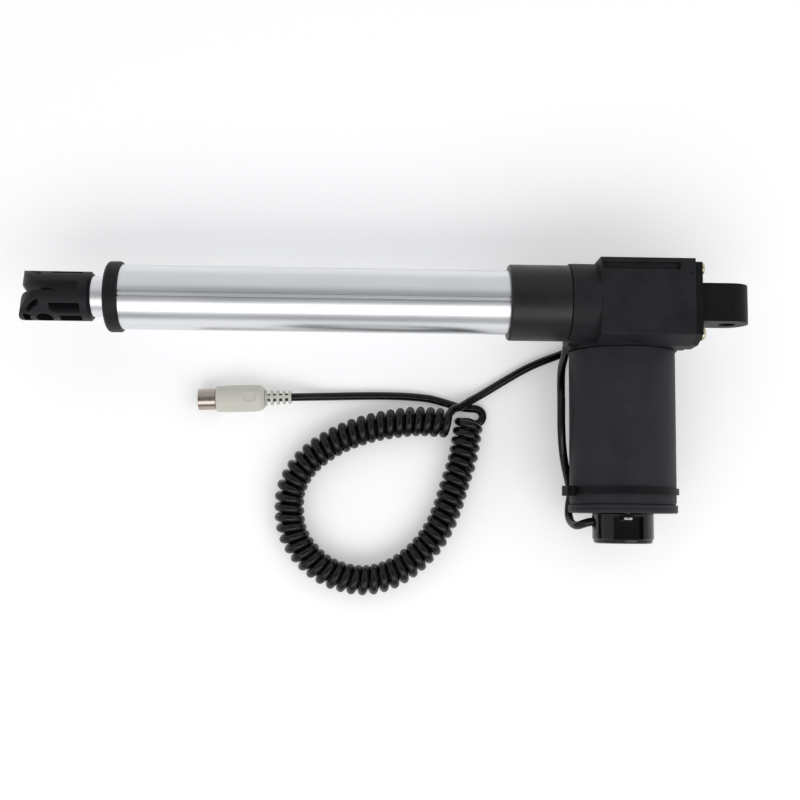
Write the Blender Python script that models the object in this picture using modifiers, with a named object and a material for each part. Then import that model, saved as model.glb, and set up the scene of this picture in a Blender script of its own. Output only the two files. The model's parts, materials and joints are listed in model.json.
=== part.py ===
"""Linear actuator with a worm gearmotor, a keyed nut and a coiled supply cord.

Sizes are in millimetres in this file and become metres in the helpers. The base empty holds
everything: its X axis is the tube's axis and points to the rear pin, its Y axis points away
from the motor, and its Z axis points up from the table.
"""
import math

import bmesh
import bpy
from mathutils import Euler, Matrix, Vector

MM = 0.001
GAP = 0.3
SIDES = 40

# Driving dimensions
STROKE = 200.0
FRONT_PIN_X = -398.6
ROD_END_X = -413.4
ROD_END_R = 14.5
ROD_END_BACK_X = -372.0
NOSE_R = ROD_END_R + 0.3
ROD_ROLL = math.radians(15.0)
FORK_SLOT = 6.0
FORK_SLOT_BACK_X = -378.6
PIN_HOLE_R = 5.0
PUSH_TUBE_R = 12.0
PUSH_TUBE_BORE_R = 10.0
TUBE_R = 19.0
TUBE_BORE_R = 16.5
TUBE_FRONT_X = -354.6
TUBE_BACK_X = -79.6
GROOVE_WIDTH = 2.8
GROOVE_DEPTH = 0.8
GROOVE_ROLL = math.radians(4.0)
KEY_WIDTH = 5.0
KEY_R = 17.4
CAP_FRONT_X = -363.2
CAP_R = 20.8
SLEEVE_FRONT_X = -128.6
SLEEVE_R = 22.5
COLLAR_FRONT_X = -93.0
COLLAR_R = 23.5
BOX_FRONT_X = -77.2
BOX_BACK_X = -22.4
BOX_HALF_Z = 22.5
BOX_TOP_Y = 23.7
BOX_EDGE_Y = -21.1
BOX_LOW_Y = -25.8
BOX_CHAMFER_Z = 13.5
PLATE_BACK_X = -18.0
REAR_PIN_X = 1.6
LUG_HALF_Y = 11.3
LUG_R = 12.3
MOTOR_X = -56.8
WORM_OFFSET = 21.0
SEAT_R = 33.0
SEAT_LOW_Y = -25.6
COVER_R = 31.7
COVER_WALL = 2.5
COVER_TOP_Y = SEAT_LOW_Y - GAP
COVER_LOW_Y = -118.0
FLANGE_R = 32.4
FLANGE_LOW_Y = -123.0
END_CAP_R = 18.25
END_CAP_LOW_Y = -141.0
TIE_R = 33.2
TIE_Y = -110.2
TIE_WIDTH = 3.6

# Cord: routes are (x, y, z) in the base frame; its far end is a round five-pin plug
CORD_R = 2.5
COIL_R = 9.35
CORD_EXIT_Y = -128.0
TIE_ANGLE = math.radians(216.0)
PLUG_R = 8.4
PLUG_AT = (-274.4, -53.7)
PLUG_TURN = math.radians(2.2)

# Worm drive
TEETH = 25
MODULE = 1.25
WHEEL_PITCH_R = MODULE * TEETH / 2
WORM_PITCH_R = WORM_OFFSET - WHEEL_PITCH_R
ADDENDUM = 1.0
DEDENDUM = 1.4
TIP_HALF = 0.39
ROOT_HALF = 1.26
WHEEL_FRONT_X = MOTOR_X - 7.0
WHEEL_BACK_X = MOTOR_X + 7.0

# Screw line
SCREW_R = 7.0
SCREW_TIP_X = -338.0
JOURNAL_R = 6.0
JOURNAL_FRONT_X = -79.8
NUT_FRONT_X = -119.0
NUT_BACK_X = -89.0
NUT_R = 16.2

# Fixing screws: the rear plate's in the tube frame, the motor's in the motor frame
PLATE_SCREW_X = 14.0
PLATE_SCREW_Y = 19.3
MOUNT_SCREW_X = 15.0
MOUNT_SCREW_Y = 17.0
SCREW_HOLE_R = 2.2
SCREW_SHANK_R = 1.9
SCREW_HEAD_R = 4.0

# The object's own box, which sets its origin at the middle of the base
BOX_X = (FRONT_PIN_X - NOSE_R + REAR_PIN_X + LUG_R) / 2
BOX_Y = (END_CAP_LOW_Y + BOX_TOP_Y) / 2
FLOOR_Z = -WORM_OFFSET - TIE_R


def clear_scene():
    for obj in list(bpy.data.objects):
        bpy.data.objects.remove(obj, do_unlink=True)


def new_collection(name):
    group = bpy.data.collections.new(name)
    bpy.context.scene.collection.children.link(group)
    return group


def new_material(name, colour, roughness, metallic=0.0):
    mat = bpy.data.materials.new(name)
    mat.use_nodes = True
    shader = mat.node_tree.nodes["Principled BSDF"]
    shader.inputs["Base Color"].default_value = (*colour, 1.0)
    shader.inputs["Roughness"].default_value = roughness
    shader.inputs["Metallic"].default_value = metallic
    return mat


clear_scene()
PARTS = new_collection("linear_actuator")
CUTTERS = new_collection("cutters")
BLACK = new_material("moulded_black", (0.02, 0.02, 0.022), 0.55)
GREY_BLACK = new_material("motor_cover_black", (0.03, 0.029, 0.033), 0.6)
GLOSS_BLACK = new_material("gloss_black", (0.01, 0.01, 0.011), 0.15)
NYLON = new_material("rod_end_nylon", (0.035, 0.034, 0.038), 0.5)
WHITE_PLASTIC = new_material("bearing_plastic", (0.75, 0.74, 0.7), 0.5)
ALUMINIUM = new_material("satin_aluminium", (0.75, 0.76, 0.77), 0.35, 1.0)
STEEL = new_material("bright_steel", (0.62, 0.62, 0.63), 0.25, 1.0)
ZINC = new_material("yellow_zinc", (0.62, 0.5, 0.26), 0.35, 1.0)
BRONZE = new_material("sintered_bronze", (0.5, 0.32, 0.16), 0.45, 1.0)
COPPER = new_material("enamelled_copper", (0.55, 0.2, 0.08), 0.35, 1.0)
MAGNET = new_material("ferrite", (0.05, 0.05, 0.055), 0.7)
CARBON = new_material("carbon", (0.03, 0.03, 0.03), 0.8)
BOARD = new_material("circuit_board", (0.03, 0.16, 0.07), 0.5)
CORD = new_material("cord_black", (0.012, 0.012, 0.013), 0.3)
PLUG_GREY = new_material("plug_grey", (0.55, 0.54, 0.5), 0.5)
NICKEL = new_material("nickel", (0.66, 0.64, 0.6), 0.25, 1.0)
RUBBER = new_material("seal_rubber", (0.02, 0.02, 0.02), 0.8)


def frame(name, parent=None, at=(0, 0, 0), turn=(0, 0, 0)):
    """An empty that holds a local frame; at is in millimetres and turn in radians."""
    empty = bpy.data.objects.new(name, None)
    PARTS.objects.link(empty)
    empty.parent = parent
    empty.location = Vector(at) * MM
    empty.rotation_euler = turn
    return empty


QUARTER = math.pi / 2
BASE = frame("base", at=(-BOX_X, -BOX_Y, -FLOOR_Z))
# Local Z along the tube; local X points down and local Y away from the motor
TUBE = frame("tube_axis", BASE, turn=(0, QUARTER, 0))
# Local Z away from the motor; local X along the tube and local Y down
MOTOR = frame("motor_axis", BASE, at=(MOTOR_X, 0, -WORM_OFFSET), turn=(-QUARTER, 0, 0))
REAR_PIN = frame("rear_pin", BASE, at=(REAR_PIN_X, 0, 0), turn=(-QUARTER, 0, 0))
# Local Z along the tube; local Y along the front pin
FORK = frame("fork_roll", TUBE, turn=(0, 0, -ROD_ROLL))


def place(mesh, name, parent, mat, at=(0, 0, 0), turn=(0, 0, 0)):
    """A mesh object under a frame; without a material it is a cutter."""
    obj = bpy.data.objects.new(name, mesh)
    group = PARTS if mat else CUTTERS
    group.objects.link(obj)
    obj.parent = parent
    obj.location = Vector(at) * MM
    obj.rotation_euler = turn
    if mat:
        mesh.materials.append(mat)
    else:
        obj.hide_render = True
        obj.display_type = "WIRE"
    return obj


def turned(name, parent, profile, mat=None, sides=SIDES, at=(0, 0, 0), turn=(0, 0, 0)):
    """A solid turned about Z from (radius, height) points, the outer side first, top to bottom."""
    last = len(profile) - 1
    edges = [(i, i + 1) for i in range(last)]
    if profile[0][0] > 0:
        edges.append((last, 0))
    mesh = bpy.data.meshes.new(name)
    mesh.from_pydata([(r * MM, 0, h * MM) for r, h in profile], edges, [])
    obj = place(mesh, name, parent, mat, at, turn)
    screw = obj.modifiers.new("turn", "SCREW")
    screw.steps = sides
    screw.render_steps = sides
    screw.use_merge_vertices = True
    screw.merge_threshold = 0.00001
    screw.use_smooth_shade = True
    return obj


def rod(name, parent, radius, low, high, mat=None, sides=SIDES, at=(0, 0, 0), turn=(0, 0, 0)):
    profile = [(0, high), (radius, high), (radius, low), (0, low)]
    return turned(name, parent, profile, mat, sides, at, turn)


def ring(name, parent, radius, bore, low, high, mat=None, sides=SIDES, at=(0, 0, 0)):
    profile = [(radius, high), (radius, low), (bore, low), (bore, high)]
    return turned(name, parent, profile, mat, sides, at)


def box(name, parent, low, high, mat=None, turn=(0, 0, 0)):
    """A box between two corners; turn acts about the parent frame's origin."""
    mesh = bpy.data.meshes.new(name)
    bm = bmesh.new()
    bmesh.ops.create_cube(bm, size=MM)
    size = Vector(high) - Vector(low)
    middle = (Vector(high) + Vector(low)) / 2
    bmesh.ops.scale(bm, vec=size, verts=bm.verts)
    bmesh.ops.translate(bm, vec=middle * MM, verts=bm.verts)
    bm.to_mesh(mesh)
    bm.free()
    return place(mesh, name, parent, mat, turn=turn)


def as_mesh(obj, mat):
    """Turns a curve object into a mesh object with welded caps."""
    bpy.context.view_layer.update()
    graph = bpy.context.evaluated_depsgraph_get()
    mesh = bpy.data.meshes.new_from_object(obj.evaluated_get(graph))
    bm = bmesh.new()
    bm.from_mesh(mesh)
    bmesh.ops.remove_doubles(bm, verts=bm.verts, dist=0.000001)
    bm.to_mesh(mesh)
    bm.free()
    mesh.materials.clear()
    name = obj.name
    parent = obj.parent
    at = obj.location / MM
    turn = obj.rotation_euler.copy()
    bpy.data.objects.remove(obj, do_unlink=True)
    return place(mesh, name, parent, mat, at, turn)


def prism(name, parent, loops, low, high, mat=None, turn=(0, 0, 0)):
    """A flat outline with its holes, extruded along Z from low to high."""
    curve = bpy.data.curves.new(name, "CURVE")
    curve.dimensions = "2D"
    curve.fill_mode = "BOTH"
    curve.extrude = (high - low) / 2 * MM
    for loop in loops:
        spline = curve.splines.new("POLY")
        spline.points.add(len(loop) - 1)
        for point, (x, y) in zip(spline.points, loop):
            point.co = (x * MM, y * MM, 0, 1)
        spline.use_cyclic_u = True
    middle = Euler(turn).to_matrix() @ Vector((0, 0, (high + low) / 2))
    obj = bpy.data.objects.new(name, curve)
    PARTS.objects.link(obj)
    obj.parent = parent
    obj.location = middle * MM
    obj.rotation_euler = turn
    return as_mesh(obj, mat)


def arc(radius, start, end, steps, centre=(0, 0)):
    """Points of an arc; the angles are in radians and both ends are included."""
    angles = [start + (end - start) * i / steps for i in range(steps + 1)]
    cx, cy = centre
    return [(cx + radius * math.cos(a), cy + radius * math.sin(a)) for a in angles]


def circle(radius, sides=SIDES):
    return arc(radius, 0, 2 * math.pi, sides)[:-1]


def twisted(name, parent, loop, low, high, twist, steps, mat):
    """A prism whose section turns by twist radians from low to high, centred on zero turn."""
    count = len(loop)
    verts = []
    for step in range(steps + 1):
        share = step / steps
        turn = Matrix.Rotation(twist * (share - 0.5), 3, "Z")
        height = low + (high - low) * share
        verts += [(turn @ Vector((x, y, height))) * MM for x, y in loop]
    faces = [list(range(count))[::-1], [steps * count + i for i in range(count)]]
    for step in range(steps):
        here = step * count
        for i in range(count):
            j = (i + 1) % count
            faces.append((here + i, here + j, here + count + i))
            faces.append((here + j, here + count + j, here + count + i))
    mesh = bpy.data.meshes.new(name)
    mesh.from_pydata(verts, [], faces)
    return place(mesh, name, parent, mat)


def around(name, parent, count, add_one):
    """A cutter or joiner of equal shapes around Z; add_one puts one into a bmesh at a turn."""
    bm = bmesh.new()
    for i in range(count):
        add_one(bm, Matrix.Rotation(2 * math.pi * (i + 0.5) / count, 4, "Z"))
    mesh = bpy.data.meshes.new(name)
    bm.to_mesh(mesh)
    bm.free()
    return place(mesh, name, parent, None)


def balls(name, parent, radius, track, height, count):
    at = Matrix.Translation(Vector((track, 0, height)) * MM)

    def one(bm, turn):
        bmesh.ops.create_icosphere(bm, subdivisions=1, radius=radius * MM, matrix=turn @ at)

    return around(name, parent, count, one)


def boolean(obj, tool, operation):
    mod = obj.modifiers.new(tool.name, "BOOLEAN")
    mod.operation = operation
    mod.solver = "EXACT"
    mod.object = tool


def cut(obj, *tools):
    for tool in tools:
        boolean(obj, tool, "DIFFERENCE")


def join(obj, *tools):
    for tool in tools:
        boolean(obj, tool, "UNION")


def shade_round_pieces():
    """Turned pieces are smooth round their axis and keep flat ends."""
    for obj in PARTS.objects:
        if "turn" in obj.modifiers:
            obj.modifiers.new("flat_ends", "WEIGHTED_NORMAL")


def make_outer_tube():
    half = math.asin(GROOVE_WIDTH / 2 / TUBE_R)
    top = math.pi + GROOVE_ROLL
    outer = arc(TUBE_R, top + half, top - half + 2 * math.pi, SIDES)
    floor_r = TUBE_R - GROOVE_DEPTH
    outer += arc(floor_r, top - half, top + half, 2)
    inner = []
    key_half = math.asin(KEY_WIDTH / 2 / TUBE_BORE_R)
    for side in (QUARTER, -QUARTER):
        inner += arc(KEY_R, side - key_half, side + key_half, 3)
        inner += arc(TUBE_BORE_R, side + key_half, side + math.pi - key_half, SIDES // 2)
    prism("outer_tube", TUBE, [outer, inner], TUBE_FRONT_X, TUBE_BACK_X, ALUMINIUM)


def make_front_cap():
    front = CAP_FRONT_X
    bore = PUSH_TUBE_R + GAP
    shoulder = TUBE_FRONT_X - GAP
    profile = [
        (TUBE_BORE_R - GAP, -346.0),
        (TUBE_BORE_R - GAP, shoulder),
        (CAP_R, shoulder),
        (CAP_R, front + 1.2),
        (CAP_R - 1.2, front),
        (bore, front),
        (bore, front + 2.2),
        (14.4, front + 2.2),
        (14.4, -346.0),
    ]
    turned("front_end_cap", TUBE, profile, BLACK, 36)
    lip = [(14.1, -356.0), (14.1, front + 2.5), (bore, front + 2.5), (bore + 0.8, -356.0)]
    turned("rod_wiper_seal", TUBE, lip, RUBBER, 24)
    ring("rod_guide_bush", TUBE, TUBE_BORE_R - GAP, bore, -345.7, -330.0, WHITE_PLASTIC, 24)


def fork_pocket(name, side, outline_, depth):
    """A coring pocket in the prong on one side of the slot; outline_ is (u, x) points."""
    low, high = sorted((side * depth, side * (ROD_END_R + 1)))
    return prism(name, FORK, [outline_], low, high, turn=(QUARTER, 0, 0))


def rectangle(u_low, u_high, x_low, x_high):
    return [(u_low, x_low), (u_high, x_low), (u_high, x_high), (u_low, x_high)]


def make_rod_end():
    """Push tube with its end collar, the clevis, and the pin that joins them."""
    collar_x = NUT_FRONT_X + 3.8
    profile = [
        (13.9, collar_x + 5.7),
        (13.9, collar_x),
        (PUSH_TUBE_R, collar_x),
        (PUSH_TUBE_R, ROD_END_BACK_X + GAP),
        (PUSH_TUBE_BORE_R, ROD_END_BACK_X + GAP),
        (PUSH_TUBE_BORE_R, collar_x + 5.7),
    ]
    push_tube = turned("push_tube", TUBE, profile, STEEL, 32)
    spigot_r = PUSH_TUBE_BORE_R - GAP
    edge = 1.0
    body = [
        (0, -352.0),
        (spigot_r, -352.0),
        (spigot_r, ROD_END_BACK_X),
        (ROD_END_R - edge, ROD_END_BACK_X),
        (ROD_END_R, ROD_END_BACK_X - edge),
        (ROD_END_R, ROD_END_X),
        (0, ROD_END_X),
    ]
    clevis = turned("front_clevis", TUBE, body, NYLON, 32, turn=(0, 0, -ROD_ROLL))
    beyond = ROD_END_X - 5
    outside = [(-20, FRONT_PIN_X), (-20, beyond), (20, beyond), (20, FRONT_PIN_X)]
    nose = arc(NOSE_R, 0, -math.pi, 12, (0, FRONT_PIN_X))
    rounding = prism("cut_nose", FORK, [outside + nose], -20, 20, turn=(QUARTER, 0, 0))
    slot = box("cut_slot", FORK, (-20, -FORK_SLOT / 2, -420), (20, FORK_SLOT / 2, FORK_SLOT_BACK_X))
    hole = rod("cut_pin", FORK, PIN_HOLE_R, -20, 20, sides=20, at=(0, 0, FRONT_PIN_X),
               turn=(QUARTER, 0, 0))
    cut(clevis, rounding, slot, hole)
    for side in (1, -1):
        for tilt in (1, -1):
            u_low, u_high = sorted((tilt * 5.6, tilt * 10.9))
            pocket = fork_pocket(f"cut_side_{side}_{tilt}", side,
                                 rectangle(u_low, u_high, -394.8, -377.3), 7.0)
            cut(clevis, pocket)
        centre = fork_pocket(f"cut_centre_{side}", side, rectangle(-3.4, 3.4, -389.8, -377.1), 8.0)
        cut(clevis, centre)
    pin_at = (0, 0, -362.0)
    clevis_hole = rod("cut_clevis_pin", FORK, 2.3, -20, 20, sides=10, at=pin_at, turn=(QUARTER, 0, 0))
    cut(clevis, clevis_hole)
    cut(push_tube, clevis_hole)
    rod("clevis_cross_pin", FORK, 2.0, -11.7, 11.7, STEEL, 10, pin_at, (QUARTER, 0, 0))


def make_nut():
    """The nut slides in the tube's key grooves; its thread is a plain bore here."""
    key_half = math.asin((KEY_WIDTH / 2 - GAP) / NUT_R)
    flat = 13.7
    flat_half = math.acos(flat / NUT_R)
    loop = []
    for side in (QUARTER, -QUARTER):
        loop += arc(KEY_R - GAP, side - key_half, side + key_half, 2)
        if side > 0:
            loop += arc(NUT_R, side + key_half, math.pi - flat_half, 5)
            loop += arc(NUT_R, math.pi + flat_half, 1.5 * math.pi - key_half, 5)
        else:
            loop += arc(NUT_R, side + key_half, side + math.pi - key_half, 12)
    loops = [loop, circle(SCREW_R + GAP, 24)]
    nut = prism("drive_nut", TUBE, loops, NUT_FRONT_X, NUT_BACK_X, WHITE_PLASTIC)
    socket = rod("cut_nut_socket", TUBE, 14.2, NUT_FRONT_X - 1, NUT_FRONT_X + 9.9, sides=28)
    cut(nut, socket)
    ring("nut_retaining_ring", TUBE, 13.9, PUSH_TUBE_R + GAP, NUT_FRONT_X + 0.2, NUT_FRONT_X + 3.5,
         STEEL, 24)


def make_screw():
    nut_front = -33.2
    profile = [
        (0, -25.5),
        (5.0, -25.5),
        (5.0, nut_front),
        (JOURNAL_R, nut_front),
        (JOURNAL_R, JOURNAL_FRONT_X),
        (SCREW_R, JOURNAL_FRONT_X),
        (SCREW_R, SCREW_TIP_X),
        (0, SCREW_TIP_X),
    ]
    screw = turned("lead_screw", TUBE, profile, STEEL, 24)
    keyway = box("cut_keyway", TUBE, (-2.0, 3.9, -62.3), (2.0, 7.9, -51.7))
    tip_hole = rod("cut_tip_thread", TUBE, 2.3, SCREW_TIP_X - 1, SCREW_TIP_X + 12, sides=10)
    cut(screw, keyway, tip_hole)
    guide = [(0, SCREW_TIP_X + 10), (2.0, SCREW_TIP_X + 10), (2.0, SCREW_TIP_X - GAP),
             (PUSH_TUBE_BORE_R - GAP, SCREW_TIP_X - GAP), (PUSH_TUBE_BORE_R - GAP, SCREW_TIP_X - 5),
             (0, SCREW_TIP_X - 5)]
    turned("screw_tip_guide", TUBE, guide, WHITE_PLASTIC, 24)
    hexagon = arc(9.0, 0, 2 * math.pi, 6)[:-1]
    prism("screw_lock_nut", TUBE, [hexagon, circle(5.0 + GAP, 18)], nut_front + GAP, -26.0, STEEL)
    return keyway


def make_bearings():
    """Plain bush in front of the worm wheel, ball bearing behind it."""
    ring("screw_front_bush", TUBE, 14.0, JOURNAL_R + GAP, -76.0, -68.0, BRONZE, 24)
    low, high = -43.7, -33.7
    outer_bore, inner_r = 13.6, 8.7
    ring("rear_bearing_outer_ring", TUBE, 16.0, outer_bore, low, high, STEEL, 28)
    ring("rear_bearing_inner_ring", TUBE, inner_r, JOURNAL_R + GAP, low, high, STEEL, 24)
    track = (outer_bore + inner_r) / 2
    middle = (low + high) / 2
    cage = ring("rear_bearing_balls", TUBE, track + 0.6, track - 0.6, middle - 2.6, middle + 2.6,
                STEEL, 18)
    join(cage, balls("join_balls", TUBE, (outer_bore - inner_r) / 2 - GAP, track, middle, 6))


def make_worm_wheel(keyway):
    loop = []
    tip_r = WHEEL_PITCH_R + ADDENDUM
    root_r = WHEEL_PITCH_R - DEDENDUM
    pitch = 2 * math.pi / TEETH
    for k in range(TEETH):
        middle = (k + 0.5) * pitch
        for radius, half in ((root_r, -ROOT_HALF), (tip_r, -TIP_HALF), (tip_r, TIP_HALF),
                             (root_r, ROOT_HALF)):
            angle = middle + half / WHEEL_PITCH_R
            loop.append((radius * math.cos(angle), radius * math.sin(angle)))
    width = WHEEL_BACK_X - WHEEL_FRONT_X
    twist = width * MODULE / 2 / WORM_PITCH_R / WHEEL_PITCH_R
    wheel = twisted("worm_wheel", TUBE, loop, WHEEL_FRONT_X, WHEEL_BACK_X, twist, 2, BRONZE)
    hub = rod("join_hub", TUBE, 9.5, -67.5, -44.1, sides=24)
    bore = rod("cut_wheel_bore", TUBE, JOURNAL_R + GAP, -70, -40, sides=24)
    join(wheel, hub)
    cut(wheel, keyway, bore)
    box("wheel_key", TUBE, (-1.7, 4.2, -62.0), (1.7, 7.6, -52.0), STEEL)


def make_worm():
    """One-start worm; its section is a polar curve that turns once for each lead."""
    lead = math.pi * MODULE
    tip_r = WORM_PITCH_R + ADDENDUM
    root_r = WORM_PITCH_R - DEDENDUM
    crest = 2 * math.pi * TIP_HALF / lead
    foot = 2 * math.pi * ROOT_HALF / lead
    half = [(crest, tip_r), ((crest + foot) / 2, WORM_PITCH_R), (foot, root_r)]
    half.append(((foot + math.pi) / 2, root_r))
    polar = [(0, tip_r)] + half + [(math.pi, root_r)] + [(-a, r) for a, r in half[::-1]]
    top = -QUARTER
    loop = [(r * math.cos(a + top), r * math.sin(a + top)) for a, r in polar]
    low, high = -11.0, 11.0
    turns = (high - low) / lead
    worm = twisted("worm", MOTOR, loop, low, high, turns * 2 * math.pi, round(turns * 10), STEEL)
    cut(worm, rod("cut_worm_bore", MOTOR, 2.5 + GAP, low - 1, high + 1, sides=16))
    ring("worm_tip_bush", MOTOR, 5.0, 2.5 + GAP, 13.3, 19.0, BRONZE, 16)


def box_section():
    """Gearbox section in the tube frame, with a chamfer on both low edges."""
    side = BOX_HALF_Z
    chamfer = BOX_HALF_Z - BOX_CHAMFER_Z
    return [
        (-side, BOX_TOP_Y),
        (side, BOX_TOP_Y),
        (side, BOX_EDGE_Y),
        (chamfer, BOX_LOW_Y),
        (-chamfer, BOX_LOW_Y),
        (-side, BOX_EDGE_Y),
    ]


def plate_screw_places():
    sides = (-PLATE_SCREW_X, PLATE_SCREW_X)
    return [(x, y, 0) for y in (PLATE_SCREW_Y, -PLATE_SCREW_Y) for x in sides]


def make_gearbox():
    housing = prism("gearbox_housing", TUBE, [box_section()[::-1]], BOX_FRONT_X, BOX_BACK_X, BLACK)
    neck_x = BOX_FRONT_X + 4
    neck_r = BOX_HALF_Z - 1.5
    collar_profile = [(0, neck_x), (neck_r, neck_x), (neck_r, BOX_FRONT_X + 0.2),
                      (COLLAR_R, BOX_FRONT_X + 0.2), (COLLAR_R, COLLAR_FRONT_X),
                      (0, COLLAR_FRONT_X)]
    collar = turned("join_collar", TUBE, collar_profile)
    seat = rod("join_seat", MOTOR, SEAT_R, SEAT_LOW_Y, -19.0)
    bulge = rod("join_bulge", MOTOR, 11.0, -20.0, 21.0, sides=28)
    join(housing, collar, seat, bulge)
    along_tube = [
        (0, BOX_BACK_X + 1),
        (18.3, BOX_BACK_X + 1),
        (18.3, -66.5),
        (14.6, -66.5),
        (14.6, -76.3),
        (12.0, -76.3),
        (12.0, TUBE_BACK_X + GAP),
        (TUBE_R + GAP, TUBE_BACK_X + GAP),
        (TUBE_R + GAP, COLLAR_FRONT_X - 2),
        (0, COLLAR_FRONT_X - 2),
    ]
    along_motor = [(0, 19.3), (5.3, 19.3), (5.3, 13.0), (7.5, 13.0), (7.5, -22.6), (12.4, -22.6),
                   (12.4, -28.0), (0, -28.0)]
    cut(housing, turned("cut_along_tube", TUBE, along_tube, sides=36))
    cut(housing, turned("cut_along_motor", MOTOR, along_motor, sides=28))
    recess = box("cut_recess", TUBE, (-30, 16.5, -76.1), (-BOX_HALF_Z + 2.2, 21.0, -31.0))
    cut(housing, recess)
    for number, at in enumerate(plate_screw_places(), 1):
        name = f"cut_plate_screw_{number}"
        cut(housing, rod(name, TUBE, SCREW_HOLE_R, -35, -20, sides=10, at=at))
    for side in (-1, 1):
        at = (side * MOUNT_SCREW_X, MOUNT_SCREW_Y, 0)
        cut(housing, rod(f"cut_mount_{side}", MOTOR, SCREW_HOLE_R, -28, -17, sides=10, at=at))
    ring("tube_sleeve", TUBE, SLEEVE_R, TUBE_R + GAP, SLEEVE_FRONT_X, COLLAR_FRONT_X - GAP, BLACK)


def make_rear_plate():
    """End plate with the rear pin lug and the boss that holds the rear bearing."""
    front = BOX_BACK_X + GAP
    loop = [(-21.0, 22.2), (21.0, 22.2), (21.0, -20.5), (8.5, -25.2), (-8.5, -25.2), (-21.0, -20.5)]
    plate = prism("rear_mount_plate", TUBE, [loop[::-1]], front, PLATE_BACK_X, BLACK)
    boss = ring("join_bearing_boss", TUBE, 18.0, 16.3, -44.0, front + 0.5)
    tip = arc(LUG_R, -QUARTER, QUARTER, 16)
    root = PLATE_BACK_X - REAR_PIN_X - 1
    lug_loop = tip + [(root, LUG_R), (root, -LUG_R)]
    lug = prism("join_lug", REAR_PIN, [lug_loop], -LUG_HALF_Y, LUG_HALF_Y)
    join(plate, boss, lug)
    hole = rod("cut_rear_pin", REAR_PIN, PIN_HOLE_R, -15, 15, sides=24)
    cut(plate, hole)
    for side in (-1, 1):
        low, high = sorted((side * 5.0, side * 12.0))
        pocket = box(f"cut_lug_pocket_{side}", REAR_PIN, (-18.4, -7, low), (-14.6, 7, high))
        cut(plate, pocket)
    seat = PLATE_BACK_X + GAP
    bolt = [(0, seat + 2.8), (SCREW_HEAD_R - 0.8, seat + 2.8), (SCREW_HEAD_R, seat + 1.8),
            (SCREW_HEAD_R, seat), (SCREW_SHANK_R, seat), (SCREW_SHANK_R, -34.0), (0, -34.0)]
    for number, at in enumerate(plate_screw_places(), 1):
        name = f"cut_plate_hole_{number}"
        cut(plate, rod(name, TUBE, SCREW_HOLE_R, -26, -17, sides=10, at=at))
        turned(f"rear_plate_screw_{number}", TUBE, bolt, ZINC, 10, at)


def make_motor_housing():
    cover = [
        (COVER_R, COVER_TOP_Y),
        (COVER_R, COVER_LOW_Y),
        (COVER_R - COVER_WALL, COVER_LOW_Y),
        (COVER_R - COVER_WALL, COVER_TOP_Y - COVER_WALL),
        (12.6, COVER_TOP_Y - COVER_WALL),
        (12.6, COVER_TOP_Y),
    ]
    shell = turned("motor_cover", MOTOR, cover, GREY_BLACK)
    can_top = COVER_TOP_Y - 2.8
    can = [
        (12.0, -23.0),
        (12.0, can_top),
        (28.5, can_top),
        (28.5, -108.0),
        (26.0, -108.0),
        (26.0, can_top - 2.5),
        (5.3, can_top - 2.5),
        (5.3, -23.0),
    ]
    can_obj = turned("motor_can", MOTOR, can, STEEL, 32)
    bolt = [(0, -15.8), (3.5, -15.8), (3.5, -18.7), (1.9, -18.7), (1.9, -31.5), (0, -31.5)]
    for number, x in enumerate((-MOUNT_SCREW_X, MOUNT_SCREW_X), 1):
        at = (x, MOUNT_SCREW_Y, 0)
        turned(f"motor_mount_screw_{number}", MOTOR, bolt, ZINC, 10, at)
        hole = rod(f"cut_can_{number}", MOTOR, SCREW_HOLE_R, -40, -20, sides=10, at=at)
        cut(shell, hole)
        cut(can_obj, hole)
    ring("motor_front_bush", MOTOR, 5.0, 2.8, -31.0, -23.5, BRONZE, 16)
    end = [
        (8.0, -112.0),
        (8.0, COVER_LOW_Y - GAP),
        (FLANGE_R, COVER_LOW_Y - GAP),
        (FLANGE_R, FLANGE_LOW_Y),
        (0, FLANGE_LOW_Y),
        (0, -119.0),
        (5.3, -119.0),
        (5.3, -112.0),
    ]
    end_plate = turned("motor_end_plate", MOTOR, end, BLACK)
    ring("motor_rear_bush", MOTOR, 5.0, 2.8, -118.2, -112.4, BRONZE, 16)
    return end_plate


def make_end_cap(end_plate):
    """Gloss cap under the motor; the pocket on its upper side holds the screw that fixes it."""
    top = FLANGE_LOW_Y - GAP
    profile = [
        (END_CAP_R, top),
        (END_CAP_R, END_CAP_LOW_Y + 2.0),
        (END_CAP_R - 1.2, END_CAP_LOW_Y),
        (0, END_CAP_LOW_Y),
        (0, END_CAP_LOW_Y + 2.5),
        (9.5, END_CAP_LOW_Y + 2.5),
        (9.5, top),
    ]
    cap = turned("motor_end_cap", MOTOR, profile, GLOSS_BLACK)
    exit_hole = rod("cut_cord_exit", BASE, 3.8, -20, -8, sides=16, turn=(0, QUARTER, 0),
                    at=(MOTOR_X, CORD_EXIT_Y, -WORM_OFFSET))
    cut(cap, exit_hole)
    ear = top - 1.9
    head = ear - GAP
    bolt = [(0, -119.7), (1.5, -119.7), (1.5, head), (3.2, head), (3.2, head - 2.2), (0, head - 2.2)]
    turned("end_cap_screw", MOTOR, bolt, STEEL, 12, (0, -14, 0))
    cut(cap, box("cut_cap_pocket", MOTOR, (-8.8, -25, -138.6), (8.8, -10.3, ear)))
    hole = rod("cut_cap_screw", MOTOR, 1.8, -127, -119.4, sides=12, at=(0, -14, 0))
    cut(cap, hole)
    cut(end_plate, hole)
    wire_way = rod("cut_wire_way", MOTOR, 2.4, -125, -110, sides=12, at=(-12.0, 0, 0))
    cut(end_plate, wire_way)


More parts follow.
